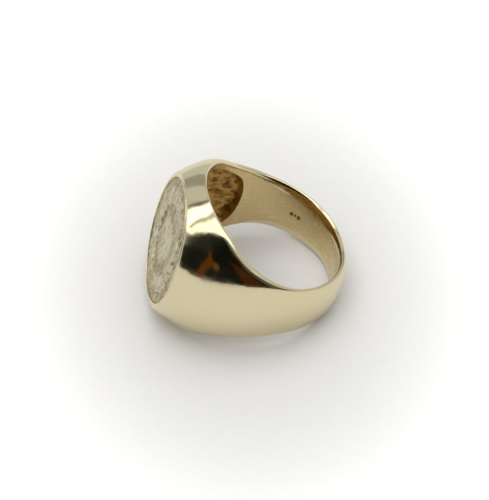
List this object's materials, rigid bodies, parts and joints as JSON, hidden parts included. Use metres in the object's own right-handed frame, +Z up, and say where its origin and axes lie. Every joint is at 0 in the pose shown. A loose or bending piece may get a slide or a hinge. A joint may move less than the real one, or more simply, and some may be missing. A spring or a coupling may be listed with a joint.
{
  "type": "signet ring",
  "caption": "Gold signet ring: a tapered domed finger hoop, a hollow-backed head and an oval carved seal face with a raised border.",
  "frame": {"origin": "on the table under the middle of the ring's box, with the ring lying at rest", "axes": "+Z up from the table, -Y the way the seal face looks (tipped a little upward), +Y the back of the finger hoop, X across the finger hoop"},
  "size_m": [0.023, 0.0249, 0.0183],
  "materials": {
    "polished_gold": "polished outside, satin in the bore",
    "carved_gold": "matte, carved in relief"
  },
  "bodies": {
    "root": {"shank": "polished_gold", "head": "polished_gold", "seal_plate": "carved_gold", "border_rim": "polished_gold"}
  },
  "joints": []
}
